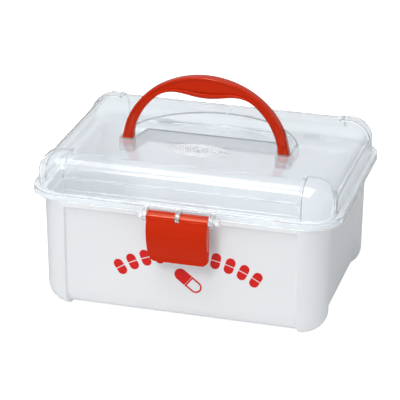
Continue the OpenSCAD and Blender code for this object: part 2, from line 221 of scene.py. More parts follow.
def skin(bm, rings, wrap=False, caps=False):
    """Joins neighbouring rings with quads. wrap joins last to first, caps fills both ends."""
    rows = [[bm.verts.new(Vector(p) * MM) for p in ring] for ring in rings]
    pairs = list(zip(rows, rows[1:])) + ([(rows[-1], rows[0])] if wrap else [])
    for low, high in pairs:
        for i in range(len(low)):
            j = (i + 1) % len(low)
            bm.faces.new((low[i], low[j], high[j], high[i]))
    if caps:
        bm.faces.new(rows[0])
        bm.faces.new(rows[-1])


def fill_flat(bm, z):
    edges = [e for e in bm.edges if e.is_boundary
             and all(abs(v.co.z - z * MM) < 1e-6 for v in e.verts)]
    bmesh.ops.triangle_fill(bm, use_beauty=True, use_dissolve=False, edges=edges,
                            normal=(0, 0, 1))


def finish_mesh(bm, name):
    bmesh.ops.remove_doubles(bm, verts=bm.verts, dist=MERGE)
    bmesh.ops.recalc_face_normals(bm, faces=bm.faces)
    mesh = bpy.data.meshes.new(name)
    bm.to_mesh(mesh)
    bm.free()
    return new_object(name, mesh)


def solid(name, rings, caps=True):
    """A piece from a stack of rings. caps fills the first and the last."""
    bm = bmesh.new()
    skin(bm, rings, caps=caps)
    return finish_mesh(bm, name)


def settle(obj):
    """Turns what the modifiers make into the object's own plain mesh."""
    bpy.context.view_layer.update()
    graph = bpy.context.evaluated_depsgraph_get()
    mesh = bpy.data.meshes.new_from_object(obj.evaluated_get(graph))
    obj.modifiers.clear()
    obj.data = mesh


def join_and_cut(obj, added=(), cut=()):
    for mode, tools in (("UNION", added), ("DIFFERENCE", cut)):
        for tool in tools:
            step = obj.modifiers.new(tool.name, "BOOLEAN")
            step.operation, step.solver, step.object = mode, "EXACT", tool
    settle(obj)
    for tool in list(added) + list(cut):
        bpy.data.objects.remove(tool)
    return obj


def open_edges(obj):
    """Counts the edges that don't join exactly two faces. A closed moulding has none."""
    bm = bmesh.new()
    bm.from_mesh(obj.data)
    count = sum(1 for edge in bm.edges if not edge.is_manifold)
    bm.free()
    return count


def tell(obj):
    print(obj.name, "has", len(obj.data.polygons), "faces, open edges:", open_edges(obj))


def soft_shading(obj, sharp=40):
    """Smooth faces, with edges kept sharp where the surface turns by more than sharp degrees."""
    for face in obj.data.polygons:
        face.use_smooth = True
    obj.data.set_sharp_from_angle(angle=math.radians(sharp))
    step = obj.modifiers.new("weighted", "WEIGHTED_NORMAL")
    step.keep_sharp = True
    settle(obj)
    tell(obj)


def offset_loop(points, d, least_lean=0.4):
    """Moves a closed outline outwards by d, for points that run anticlockwise."""
    out = []
    for before, here, after in zip(points[-1:] + points[:-1], points, points[1:] + points[:1]):
        a = Vector((here[0] - before[0], here[1] - before[1])).normalized()
        b = Vector((after[0] - here[0], after[1] - here[1])).normalized()
        n = Vector((a.y + b.y, -a.x - b.x)).normalized()
        lean = max(n.dot(Vector((a.y, -a.x))), least_lean)
        out.append((here[0] + n.x * d / lean, here[1] + n.y * d / lean))
    return out


def arc(cx, cy, r, start, end, n=16):
    return [(cx + r * math.cos(a), cy + r * math.sin(a))
            for a in map(math.radians, spread(start, end, n))]


def block_along_x(name, outline, x0, x1, edge=0.3):
    """outline: (y, z) points, anticlockwise. The two end faces get a soft edge."""
    small = offset_loop(outline, -edge)
    stack = ((x0, small), (x0 + edge, outline), (x1 - edge, outline), (x1, small))
    return solid(name, [[(x, y, z) for y, z in line] for x, line in stack])


print("helpers ready")

# %% [markdown]
# The tub is the milky white moulding that stands on the table. Its walls lean out a little
# towards the top, so that it leaves its mould, and lie 2 mm behind the corner posts. The posts
# reach the table as four feet. At the top a plain collar runs round, and above it a flange
# turns out and down. The profile below walks up the outside, over the rim and down the inside,
# so the wall has its real thickness when the lid is open.

# %% Tub shell
WALL = 1.8
TUB_X, TUB_Y, TUB_R, DRAFT_X, DRAFT_Y = 111.2, 83.8, 21.6, 0.8, 1.6
DRAFT_FROM_Z, DRAFT_H = 20, 74.2
PANEL_X, PANEL_Y = 90.0, 58.5
TUB_INSET, FOOT_EDGE, BELLY_EDGE, FOOT_H, FLOOR_T = 2.0, 16.0, 18.0, 0.9, 2.2
FLAT_IN, FLAT_STEP_IN, PAD_IN, PAD_STEP_IN, PAD_R = 6, 10, 1.5, 1, 2.5
FLANGE_Z, COLLAR_Z, LIP_Z, INSIDE_FOOT_Z = 95.2, 86.0, 91.6, 24
FLANGE_OUT, FLANGE_IN = (117.6, 84.6, 22.6), (116.2, 84.0, 21.2)


def tub_level(z, inset=0.0, panel_inset=TUB_INSET, shrink=0.0, panel_z=None, panel_shrink=0.0):
    """shrink pulls the posts in and panel_shrink the panels, for the bottom rounding."""
    k = min(max((z - DRAFT_FROM_Z) / DRAFT_H, 0), 1)
    px, py = TUB_X - DRAFT_X * (1 - k), TUB_Y - DRAFT_Y * (1 - k)
    back = panel_inset + inset + panel_shrink
    return (px - back, py - back, z if panel_z is None else panel_z, px - TUB_R, py - TUB_R,
            TUB_R - inset - shrink, z, PANEL_X + inset, PANEL_Y + inset)


def rim_level(size, z):
    """size: half width, half depth and corner radius of a flange, a shelf or a skirt."""
    return even_level(*size, z, PANEL_X, PANEL_Y)


def tub_bottom(inset, floor, panel_floor, n=8):
    """Levels from the flat of the floor out to the foot of the wall."""
    edge, belly = FOOT_EDGE - inset, BELLY_EDGE - inset
    levels = []
    for a in map(math.radians, spread(0, 90, n)):
        out, up = 1 - math.sin(a), 1 - math.cos(a)
        levels.append(tub_level(floor + edge * up, inset, shrink=edge * out,
                                panel_z=panel_floor + belly * up, panel_shrink=belly * out))
    wx, wy, _, cx, cy, _, _, sx, sy = levels[0]
    inner = (wx - FLAT_IN, wy - FLAT_IN, panel_floor, wx - FLAT_IN, wy - FLAT_IN, 0, panel_floor,
             sx - FLAT_STEP_IN, sy - FLAT_STEP_IN)
    pad = (wx - PAD_IN, wy - PAD_IN, panel_floor, cx, cy, PAD_R, floor,
           sx - PAD_STEP_IN, sy - PAD_STEP_IN)
    return [inner, pad] + levels


def tub_rings():
    levels = [(level, 0) for level in tub_bottom(0, 0, FOOT_H)]
    levels += [(tub_level(COLLAR_Z - 0.8), 0.5), (tub_level(COLLAR_Z + 0.4, 0, 0), 0.6),
               (tub_level(FLANGE_Z - WALL, 0, 0), 0.4),
               (rim_level(FLANGE_IN, FLANGE_Z - WALL), 0.2), (rim_level(FLANGE_IN, LIP_Z), 0.2),
               (rim_level(FLANGE_OUT, LIP_Z), 0.5), (rim_level(FLANGE_OUT, FLANGE_Z), 0.6),
               (tub_level(FLANGE_Z, WALL, 0), 0.6), (tub_level(COLLAR_Z + 2.4, WALL, 0), 0.5),
               (tub_level(COLLAR_Z + 1.2, WALL), 0.5), (tub_level(INSIDE_FOOT_Z, WALL), 0)]
    levels += [(level, 0) for level in reversed(tub_bottom(WALL, FLOOR_T, FOOT_H + FLOOR_T))]
    return [post_ring(level) for level in soften(levels)]


tub_shell = solid("tub_shell", tub_rings())
print("tub shell faces:", len(tub_shell.data.polygons))

# %% [markdown]
# Three things grow out of the tub's walls. On the front a ledge with three small braces waits
# behind the latch, and the latch's hook snaps under it. On the back two pairs of ears hold the
# hinge pins. Each is a flat outline pushed along the width, then joined to the shell with an
# exact boolean, so that the tub stays one closed moulding.

# %% Tub catch and hinge ears
CATCH_X, CATCH_Y, CATCH_Z, CATCH_CUT, LEDGE_T, TUB_FRONT = 17.0, -86.19, 65.6, 1.2, 2.4, -81.2
BRACE_T, BRACE_H, BRACE_LOW, BRACE_IN, BRACE_EDGE = 2.0, 7.4, 1, 0.2, 0.25
LATCH_SHIFT, ROOT_SINK = 2.0, 1
HINGE_X, HINGE_Y, HINGE_Z = 62.0, 92.6, 86.4
EAR_T, EAR_R, EAR_GAP, KNUCKLE_W, KNUCKLE_R = 3.2, 4.8, 0.4, 11.8, 4.3
EAR_ROOT = ((82.5, 4.2), (82.5, 0.3), (80.9, 0), (80.9, -11), (83.8, -11))
PIN_R, PIVOT_R, FIT, PLAY, BORE_EDGE = 1.5, 2.0, 0.02, 0.06, 0.05
EAR_REACH, KNUCKLE_REACH, AXLE_REACH = 12, 8, 40


def tub_fittings():
    root, cut = TUB_FRONT + ROOT_SINK, CATCH_Y + CATCH_CUT
    ledge = [(CATCH_Y, CATCH_Z), (root, CATCH_Z), (root, CATCH_Z + LEDGE_T),
             (cut, CATCH_Z + LEDGE_T), (CATCH_Y, CATCH_Z + CATCH_CUT)]
    brace = [(cut, CATCH_Z + BRACE_LOW), (cut, CATCH_Z + BRACE_LOW + CATCH_CUT),
             (TUB_FRONT, CATCH_Z + BRACE_H), (root, CATCH_Z + BRACE_H),
             (root, CATCH_Z + BRACE_LOW)]
    left, right = LATCH_SHIFT - CATCH_X, LATCH_SHIFT + CATCH_X
    parts = [block_along_x("ledge", ledge, left, right, BRACE_EDGE)]
    for x in (left + BRACE_IN, LATCH_SHIFT - BRACE_T / 2, right - BRACE_T - BRACE_IN):
        parts.append(block_along_x("brace", brace, x, x + BRACE_T, BRACE_EDGE))
    ear = arc(HINGE_Y, HINGE_Z, EAR_R, -65, 95) + [(y, HINGE_Z + up) for y, up in EAR_ROOT]
    for side in (-1, 1):
        for way in (-1, 1):
            x = side * HINGE_X + way * (KNUCKLE_W / 2 + EAR_GAP + EAR_T / 2)
            parts.append(block_along_x("hinge_ear", ear, x - EAR_T / 2, x + EAR_T / 2))
    return parts


def bore_x(name, y, z, r, x0, x1, n=48):
    return block_along_x(name, arc(y, z, r, 0, 360 - 360 / n, n - 1), x0, x1, BORE_EDGE)


ear_bores = [bore_x("ear_bore", HINGE_Y, HINGE_Z, PIN_R + FIT, x - EAR_REACH, x + EAR_REACH)
             for x in (-HINGE_X, HINGE_X)]
tub = join_and_cut(tub_shell, added=tub_fittings(), cut=ear_bores)
tub.name = "tub_moulding"
soft_shading(tub)

# %% [markdown]
# The lid is the clear moulding. From the rim upwards it has a skirt that hides the joint, a
# flat shelf, a low plinth, a band, and walls that round over into the top. The corner posts
# stand 1 to 2 mm proud, with ball-shaped upper ends. The top carries a recess for the folded
# handle: an arch-shaped well with a sloped wall, and two slots in which the legs stand. The
# profile walks from the top down the outside, round the skirt, and back up the inside.

# %% Lid shell
LID_X, LID_Y, CROWN_R, CASE_H, LID_TOP = 115.3, 82.3, 17.3, 124.4, 123.4
RIM, RIM_INSIDE = (120.0, 87.0, 25.0), (118.2, 85.2, 23.2)
SHELF_Z, SKIRT_Z, PLINTH_Z, STEP_Z, POST_STEP_Z = 97.2, 91.5, 100.0, 110.2, 108.4
BAND_INSET, CROWN_INSET, TOP_MARGIN = 1.0, 2.2, 2.5
POST_X, POST_Y = LID_X - CROWN_R, LID_Y - CROWN_R


def lid_level(panel_inset, z, post_z=None, inset=0.0):
    return (LID_X - panel_inset - inset, LID_Y - panel_inset - inset, z, POST_X, POST_Y,
            CROWN_R - inset, z if post_z is None else post_z, PANEL_X + inset, PANEL_Y + inset)


def crown_levels(inset, n=16):
    """From the flat top, over the rounding, down to just above the step line."""
    ball, roll = CROWN_R - inset, CROWN_R - CROWN_INSET - inset
    low = math.degrees(math.asin((STEP_Z - inset - LID_TOP + CROWN_R - CROWN_INSET) / roll))
    return [(POST_X + roll * math.cos(a), POST_Y + roll * math.cos(a),
             LID_TOP - inset - roll * (1 - math.sin(a)), POST_X, POST_Y, ball * math.cos(a),
             CASE_H - inset - ball * (1 - math.sin(a)), PANEL_X + inset, PANEL_Y + inset)
            for a in map(math.radians, spread(90, low, n))]


def top_rings(inset):
    """The flat top between its posts, from the opening's side out to the rounding."""
    sx, sy = PANEL_X + inset, PANEL_Y + inset
    like = crown_levels(inset)[0]
    outs = (-STEP_HALF, -STEP_HALF / 2, 0, STEP_HALF / 2, STEP_HALF, TOP_MARGIN)
    return [plateau_ring(sx + out, sy + out, LID_TOP - inset, CASE_H - inset, sx, sy, like)
            for out in outs]


def lid_rings():
    outside = [(level, 0) for level in crown_levels(0)]
    outside += [(lid_level(BAND_INSET, STEP_Z, POST_STEP_Z), 0.3),
                (lid_level(BAND_INSET, PLINTH_Z, PLINTH_Z + 0.4), 0.3),
                (lid_level(0, PLINTH_Z, PLINTH_Z - 0.3), 0.35), (lid_level(0, SHELF_Z), 0.5),
                (rim_level(RIM, SHELF_Z), 0.7), (rim_level(RIM, SKIRT_Z), 0.5),
                (rim_level(RIM_INSIDE, SKIRT_Z), 0.3),
                (rim_level(RIM_INSIDE, SHELF_Z - WALL), 0.3),
                (lid_level(BAND_INSET, SHELF_Z - WALL, inset=WALL), 0.3),
                (lid_level(BAND_INSET, STEP_Z - WALL, POST_STEP_Z - WALL, WALL), 0.3)]
    outside += [(level, 0) for level in reversed(crown_levels(WALL))]
    rings = top_rings(0) + [post_ring(level) for level in soften(outside, 3)]
    return rings + list(reversed(top_rings(WALL)))


print("lid rings:", len(lid_rings()))

# %% [markdown]
# The recess is drawn from above as one closed outline, and drawn again at each depth, because
# its arched wall slopes: the arch is 4.4 mm larger at the top than at the floor. Its mouth
# gets a soft edge. The same outlines, pushed out by the wall's thickness, make the underside
# of the well that shows through the clear plastic.

# %% Recess outlines
HANDLE_X, HANDLE_Y, HANDLE_Z = 2.6, -20.0, 118.5
RECESS_FLOOR_Z, RECESS_FLOOR_R, RECESS_TOP_R = 113.3, 65.0, 69.4
LEG_IN, LEG_OUT, LEG_FRONT, LEG_BACK, LEG_ROOT = 56.9, 66.0, -24.3, -18.0, 52.2
SIDE_Y, LEDGE_LEAST, ARC_STEP, ARC_COUNT = 0.4, 0.1, 0.03, 40
OUT_FILLET, IN_FILLET, SIDE_FILLET, ARCH_FILLET, LEAST_FILLET = 1.0, 1.2, 0.5, 0.2, 0.15
MOUTH_EDGE, FLOOR_EDGE_W, FLOOR_EDGE_H = 0.45, 0.9, 1


def round_corners(corners, n=4):
    """corners: (x, y, fillet) points of an open line. Each gets its fillet."""
    out = [corners[0][:2]]
    for before, here, after in zip(corners, corners[1:], corners[2:]):
        p, q, s = (Vector(c[:2]) for c in (before, here, after))
        f = here[2]
        start = q + (p - q).normalized() * min(f, (p - q).length / 2)
        end = q + (s - q).normalized() * min(f, (s - q).length / 2)
        out += [tuple(start.lerp(q, t).lerp(q.lerp(end, t), t)) for t in spread(0, 1, n)]
    return out + [corners[-1][:2]]


def recess_outline(z, grow):
    """The well seen from above at height z, its wall pushed out by grow, anticlockwise."""
    r = grow + RECESS_FLOOR_R + (RECESS_TOP_R - RECESS_FLOOR_R) * (z - RECESS_FLOOR_Z) / (
        LID_TOP - RECESS_FLOOR_Z)
    inner, outer, front = LEG_IN - grow, LEG_OUT + grow, LEG_FRONT - grow
    root = LEG_ROOT - grow + (LEG_ROOT - LEG_IN) * grow / LEG_BACK
    outside, inside = max(OUT_FILLET + grow, LEAST_FILLET), max(IN_FILLET - grow, LEAST_FILLET)
    start = max(math.asin((SIDE_Y + grow - HANDLE_Y) / r),
                math.acos(min((outer - LEDGE_LEAST) / r, 1)))
    side_y, first = HANDLE_Y + r * math.sin(start), start + ARC_STEP
    edge = round_corners([
        (0, -grow, 0), (root, -grow, inside), (inner, LEG_BACK, IN_FILLET),
        (inner, front, outside), (outer, front, outside), (outer, side_y, SIDE_FILLET),
        (r * math.cos(start), side_y, ARCH_FILLET),
        (r * math.cos(first), HANDLE_Y + r * math.sin(first), 0)])
    edge += [(r * math.cos(a), HANDLE_Y + r * math.sin(a))
             for a in spread(first, math.pi / 2, ARC_COUNT)[1:]]
    left = [(-x, y) for x, y in reversed(edge)][1:-1]
    return [(HANDLE_X + x, y) for x, y in edge + left]


def recess_rings(grow, top_z, floor_z, mouth):
    """grow pushes the wall out. mouth is the softness of the upper edge."""
    top, foot = top_z - mouth, floor_z + FLOOR_EDGE_H
    steps = [(grow + mouth * (1 - math.sin(a)), top_z - mouth * (1 - math.cos(a)))
             for a in map(math.radians, spread(0, 90, 4))]
    steps += [(grow, z) for z in spread(top, foot, 4)[1:]]
    steps += [(grow - FLOOR_EDGE_W * (1 - math.cos(a)), foot - FLOOR_EDGE_H * math.sin(a))
              for a in map(math.radians, spread(0, 90, 3)[1:])]
    return [[(x, y, z) for x, y in recess_outline(z, out)] for out, z in steps]


bm = bmesh.new()
skin(bm, lid_rings())
skin(bm, recess_rings(0, LID_TOP, RECESS_FLOOR_Z, MOUTH_EDGE))
skin(bm, recess_rings(WALL, LID_TOP - WALL, RECESS_FLOOR_Z - WALL, 0))
bmesh.ops.remove_doubles(bm, verts=bm.verts, dist=MERGE)
for z in (LID_TOP, RECESS_FLOOR_Z, LID_TOP - WALL, RECESS_FLOOR_Z - WALL):
    fill_flat(bm, z)
lid_shell = finish_mesh(bm, "lid_shell")
tell(lid_shell)

# %% [markdown]
# Three ears on the lid's front hold the latch's axle, and two knuckles on its back turn on the
# hinge pins. The leg slots also get the two holes in which the handle's feet turn.

# %% Lid ears and knuckles
AXLE_Y, AXLE_Z, AXLE_EAR_R, AXLE_R = -92.0, 92.4, 5.0, 1.5
LATCH_X, CENTRE_EAR, LID_ROOT_Y, EAR_ROOT_TOP = 23.5, 1.6, 86.1, 99.3
KNUCKLE_RISE, KNUCKLE_NECK_Y, KNUCKLE_FOOT_Z = 2.15, 89.1, 91.9


def lid_fittings():
    ear = arc(AXLE_Y, AXLE_Z, AXLE_EAR_R, 55, 300, 28) + [
        (-LID_ROOT_Y, SKIRT_Z), (-LID_ROOT_Y, EAR_ROOT_TOP)]
    knuckle = arc(HINGE_Y, HINGE_Z, KNUCKLE_R, 180, 360, 18) + [
        (HINGE_Y + KNUCKLE_R, HINGE_Z + KNUCKLE_RISE), (KNUCKLE_NECK_Y, SHELF_Z),
        (LID_ROOT_Y, SHELF_Z), (LID_ROOT_Y, KNUCKLE_FOOT_Z)]
    parts = []
    for x in (-LATCH_X - EAR_GAP - EAR_T, -CENTRE_EAR, LATCH_X + EAR_GAP):
        x += LATCH_SHIFT
        parts.append(block_along_x("latch_ear", ear, x, x + EAR_T))
    for side in (-1, 1):
        x = side * HINGE_X - KNUCKLE_W / 2
        parts.append(block_along_x("knuckle", knuckle, x, x + KNUCKLE_W))
    return parts


def lid_bores():
    holes = [bore_x("axle_bore", AXLE_Y, AXLE_Z, AXLE_R + FIT, -AXLE_REACH, AXLE_REACH)]
    for side in (-1, 1):
        x = side * HINGE_X
        holes.append(bore_x("knuckle_bore", HINGE_Y, HINGE_Z, PIN_R + PLAY, x - KNUCKLE_REACH,
                            x + KNUCKLE_REACH))
        ends = sorted(HANDLE_X + side * (LEG_OUT + step)
                      for step in (-ROOT_SINK, WALL + ROOT_SINK))
        holes.append(bore_x("pivot_bore", HANDLE_Y, HANDLE_Z, PIVOT_R + PLAY, *ends))
    return holes


lid = join_and_cut(lid_shell, added=lid_fittings(), cut=lid_bores())
lid.name = "lid_moulding"
soft_shading(lid)

# %% [markdown]
# The handle is a red bail: a flat strap that follows half an ellipse and hangs down in the
# middle as a belly for the fingers. Its section is a rounded bar whose front and back faces
# are sunk between two raised rims, which keeps the moulding thin and stiff. Under the belly
# the lower rim grows into a wide lip with a groove above it. The strap is lofted by angle
# along the curve. Each foot is a little wider, ends in a half round about its pin and carries
# two small pips.

# %% Handle
BAIL_X, BAIL_Z, STRAP_W, STRAP_TOP, STRAP_D, STRAP_EDGE = 65.4, 59.8, 7.9, 5.5, 8.0, 1.5
BELLY_H, BELLY_X, PIVOT_L = 11.8, 39.5, 2.4
RIM_W, LIP_W, LIP_EDGE, GROOVE, SINK, FLARE = 1.5, 2.4, 0.9, 0.9, 0.8, 0.3
FLARE_TOP, SINK_FROM, FADE, BAIL_COUNT, FOOT_COUNT = 7, 9, 3, 120, 5
PIP_R, PIP_H, PIP_SINK = 1.0, 0.6, 0.4
PIPS = ((-60.2, 127.9), (-56.0, 127.9), (63.6, 129.2), (63.6, 125.9))
# From a rim into the sunk face: distance, share of the sink and, under the belly, of the groove
INNER_STEP = ((0, 0, 0), (0.3, 0.3, 0), (0.5, 1, 1), (0.9, 1, 1), (1.3, 1, 0))
OUTER_STEP = ((0.8, 1), (0.5, 0.8), (0.3, 0.2), (0, 0))


def strap_section(width, sink, lip=0.0):
    """(across, depth) points of the bar, from its inner edge to its outer edge and round."""
    half, rim, groove = STRAP_D / 2, RIM_W + LIP_W * lip, GROOVE * lip
    edge = STRAP_EDGE + LIP_EDGE * lip
    front = [(edge + edge * math.cos(a), edge - half + edge * math.sin(a))
             for a in map(math.radians, (180, 202, 225, 248, 270))]
    front += [(rim + w, sink * s + groove * g - half) for w, s, g in INNER_STEP]
    front += [(width - RIM_W - w, sink * s - half) for w, s in OUTER_STEP]
    front += arc(width - STRAP_EDGE, STRAP_EDGE - half, STRAP_EDGE, 270, 360, 4)
    return front + [(w, -d) for w, d in reversed(front)]


def handle_rings():
    rings = []
    for a in map(math.radians, spread(90, 0, FOOT_COUNT)[:-1]):
        z, deep = -STRAP_D / 2 * math.sin(a), math.cos(a)
        rings.append([(BAIL_X - STRAP_W - FLARE + w, d * deep, z)
                      for w, d in strap_section(STRAP_W + 2 * FLARE, 0)])
    for a in spread(0, math.pi, BAIL_COUNT):
        outer = Vector((BAIL_X * math.cos(a), BAIL_Z * math.sin(a)))
        inner = Vector(((BAIL_X - STRAP_W) * math.cos(a), (BAIL_Z - STRAP_TOP) * math.sin(a)))
        lip = 0.0
        if abs(inner.x) < BELLY_X:
            lip = math.cos(math.pi / 2 * inner.x / BELLY_X) ** 2
            inner.y -= BELLY_H * lip
        across = (outer - inner).normalized()
        flare = FLARE * (1 - smooth((outer.y - FLARE_TOP) / FADE))
        sink = SINK * smooth((outer.y - SINK_FROM) / FADE)
        rings.append([(inner.x + across.x * (w - flare), d, inner.y + across.y * (w - flare))
                      for w, d in strap_section((outer - inner).length + 2 * flare, sink, lip)])
    foot = [[(-x, y, z) for x, y, z in ring] for ring in rings[:FOOT_COUNT]]
    return [[(HANDLE_X + x, HANDLE_Y + y, HANDLE_Z + z) for x, y, z in ring]
            for ring in rings + foot[::-1]]


def pip(x, z):
    """A small dome on the front face of a leg."""
    front = HANDLE_Y - STRAP_D / 2
    stack = [(PIP_R, front + PIP_SINK)]
    stack += [(PIP_R * math.cos(up), front - PIP_H * math.sin(up))
              for up in map(math.radians, spread(0, 75, 3))]
    return solid("pip", [[(px, y, pz) for px, pz in arc(x, z, r, 0, 330, 11)]
                         for r, y in stack])


handle = solid("handle_bail", handle_rings(), caps=False)
added = [pip(x, z) for x, z in PIPS]
for side in (-1, 1):
    pin = arc(HANDLE_Y, HANDLE_Z, PIVOT_R, 0, 348.75, 31)
    ends = sorted(HANDLE_X + side * (BAIL_X + step) for step in (-ROOT_SINK, PIVOT_L))
    added.append(block_along_x("pivot", pin, *ends))
join_and_cut(handle, added=added)
soft_shading(handle, 50)

# %% [markdown]
# The latch hangs from the clear axle in front of the skirt. Its plate curls over the axle,
# swells forward, leans back towards the tub and ends in a small lip for a fingertip. The two
# side edges of the plate show this curve. Behind it are two side ribs and the hook that snaps
# under the tub's ledge. The plate is a stack of C-shaped sections; the barrel with its curl,
# the hook and the slot for the middle ear are joined and cut after it.

# %% Latch
PLATE_Y, PLATE_TOP, LATCH_FOOT_Z, RIB_BACK_Y = -97.4, 92.4, 55.2, -90.4
PLATE_T, PLATE_CORNER, PLATE_EDGE, SIDE_RIB_T, BARREL_R = 2.0, 6.0, 0.6, 1.8, 3.6
RIB_EDGE, RIB_FROM, RIB_RISE, RIB_ROOT, RIB_FOOT = 0.3, 2, 12, 0.01, 0.5
FOOT_SQUEEZE, ROUND_CUT, TOP_DROP, TOP_CUT, FACE_COUNT = 0.5, 0.3, 0.4, 0.5, 12
CURL_R, CURL_Y, CURL_Z = 5.0, -92.4, 91.0
HOOK_X, HOOK_GAP, HOOK_T, HOOK_CUT, HOOK_LOW_Z, HOOK_HIGH_Z = 15.0, 0.5, 2.4, 0.8, 64, 69.5
PLATE_CURVE = ((50, -93.2), (56.0, -93.2), (57.6, -92.3), (68, -96.6), (74, -98.2), (80, -99.2),
               (86, -98.7), (91, PLATE_Y), (96, PLATE_Y))
FOOT_STEPS = (0.25, 0.6, 1.0, 1.4, 1.8, 2.2, 2.6, 3.0, 3.6, 4.2, 5.4, 6.6, 9, 11)
PLATE_HEIGHTS = range(67, 92)


def plate_front(z, soft=0.9):
    """Where the plate's face lies at height z: a smoothed line through the curve's points."""
    total = 0
    for step in (-1, -0.5, 0, 0.5, 1):
        at = z + soft * step
        for (z0, y0), (z1, y1) in zip(PLATE_CURVE, PLATE_CURVE[1:]):
            if z0 <= at < z1:
                total += y0 + (y1 - y0) * (at - z0) / (z1 - z0)
    return total / 5


def plate_ring(z, squeeze=0.0):
    """A C-shaped section of the plate and its two side ribs. squeeze makes it smaller."""
    drop = max(LATCH_FOOT_Z + PLATE_CORNER - z, 0)
    half = LATCH_X - PLATE_CORNER + math.sqrt(max(PLATE_CORNER ** 2 - drop ** 2, 0)) - squeeze
    front, back = plate_front(z) + squeeze, plate_front(z) + PLATE_T - squeeze
    grown = smooth((z - LATCH_FOOT_Z - RIB_FROM) / RIB_RISE)
    rib = max(back + (RIB_BACK_Y - back) * grown, back)
    edge, cut, inside = PLATE_EDGE, PLATE_EDGE * ROUND_CUT, SIDE_RIB_T - half
    face = [(half * (1 - 2 * i / FACE_COUNT), front) for i in range(1, FACE_COUNT)]
    face = [(half - edge, front)] + face + [(edge - half, front)]
    left = [(cut - half, front + cut), (-half, front + edge),
            (-half, max(rib - RIB_EDGE, front + edge)), (RIB_EDGE - half, rib),
            (inside - RIB_EDGE, rib), (inside, max(rib - RIB_EDGE, back)),
            (inside, back + RIB_ROOT)]
    right = [(-x, y) for x, y in reversed(left)]
    back_face = [(inside + RIB_FOOT, back), (-inside - RIB_FOOT, back)]
    return [(LATCH_SHIFT + x, y, z) for x, y in face + left + back_face + right]


def latch_plate():
    heights = [LATCH_FOOT_Z + h for h in FOOT_STEPS] + [*PLATE_HEIGHTS, PLATE_TOP - TOP_DROP]
    rings = [plate_ring(LATCH_FOOT_Z, FOOT_SQUEEZE)] + [plate_ring(z) for z in heights]
    rings.append([(x, max(y, PLATE_Y + TOP_CUT), PLATE_TOP)
                  for x, y, _ in plate_ring(PLATE_TOP)])
    return solid("latch_plate", rings)


def across_latch(half):
    return LATCH_SHIFT - half, LATCH_SHIFT + half


def barrel():
    """The roll round the axle. In front it grows into the curl that the plate hangs from."""
    outline = arc(CURL_Y, CURL_Z, CURL_R, 90, 180, 24)
    outline += arc(AXLE_Y, AXLE_Z, BARREL_R, 225, 450, 36)
    return block_along_x("barrel", outline, *across_latch(LATCH_X))


def hook():
    tip_y, tip_z = CATCH_Y - HOOK_GAP, CATCH_Z - HOOK_GAP
    low, high = [(plate_front(z) + ROOT_SINK, z) for z in (HOOK_LOW_Z, HOOK_HIGH_Z)]
    outline = [low, (tip_y - HOOK_CUT, tip_z - HOOK_T), (tip_y, tip_z), (tip_y - HOOK_T, tip_z),
               high]
    return block_along_x("hook", outline, *across_latch(HOOK_X))


slot = bore_x("slot", AXLE_Y, AXLE_Z, AXLE_EAR_R + 2 * EAR_GAP,
              *across_latch(CENTRE_EAR + EAR_GAP))
bore = bore_x("bore", AXLE_Y, AXLE_Z, AXLE_R + PLAY, -AXLE_REACH, AXLE_REACH)
latch = join_and_cut(latch_plate(), added=[barrel(), hook()], cut=[slot, bore])
latch.name = "latch_pull"
soft_shading(latch)

# %% [markdown]
# The front wall carries a print: a row of eleven small pills on an arch, and one large two-part
# capsule under it. Printing is a layer of ink, so each mark is a thin plate that lies on the
# wall and follows its draft. The small pill is drawn first. The row repeats it along an arc,
# which is a task for Geometry Nodes.

# %% Ink marks on the front wall
WALL_AT_FOOT, WALL_FOOT_Z, WALL_LEAN = -80.2, 18.9, -0.0212
INK_T, INK_SINK = 0.12, 0.04
ROW_X, ROW_Z, ROW_R, ROW_SWEEP, ROW_TILT, PILL_COUNT = 8.4, -43.6, 101.2, 63.0, -1.5, 11
PILL_W, PILL_L, PILL_GAP = 7.4, 13.4, 0.8


def pill_half(width, length, gap, flip=1):
    """Outline of half a pill that stands upright, with its round end away from the middle."""
    r = width / 2
    points = [(-r, gap / 2), (r, gap / 2)] + arc(0, length / 2 - r, r, 0, 180, 10)
    return [(x * flip, y * flip) for x, y in points]


def ink_plate(bm, outline, hole=()):
    """A flat plate in the XY plane, INK_T thick, with an optional hole of as many points."""
    stack = [(outline, -INK_SINK), (outline, INK_T)]
    if hole:
        stack += [(hole, INK_T), (hole, -INK_SINK)]
    skin(bm, [[(x, y, z) for x, y in line] for line, z in stack], wrap=bool(hole), caps=not hole)


bm = bmesh.new()
for flip in (1, -1):
    ink_plate(bm, pill_half(PILL_W, PILL_L, PILL_GAP, flip))
pill_stamp = finish_mesh(bm, "pill_stamp")
tell(pill_stamp)

# %% [markdown]
# A tree of nodes can be written as a script, and these helpers keep that short. The first fills
# a node's inputs, with a plain value or with a link. The second adds a node. The next two begin
# a Geometry Nodes tree with named inputs, so that every size stays in one place, and end it. The
# last runs the tree and keeps its result as a plain mesh.

# %% Helpers for node trees
def set_inputs(tree, node, values):
    """values: input to a plain value, a socket, or a node, which gives its first output."""
    for label, value in values.items():
        if isinstance(value, bpy.types.Node):
            value = value.outputs[0]
        if isinstance(value, bpy.types.NodeSocket):
            tree.links.new(value, node.inputs[label])
        else:
            node.inputs[label].default_value = value
    return node


def add_node(tree, kind, values=None, **options):
    node = tree.nodes.new(kind)
    for key, value in options.items():
        setattr(node, key, value)
    return set_inputs(tree, node, values or {})


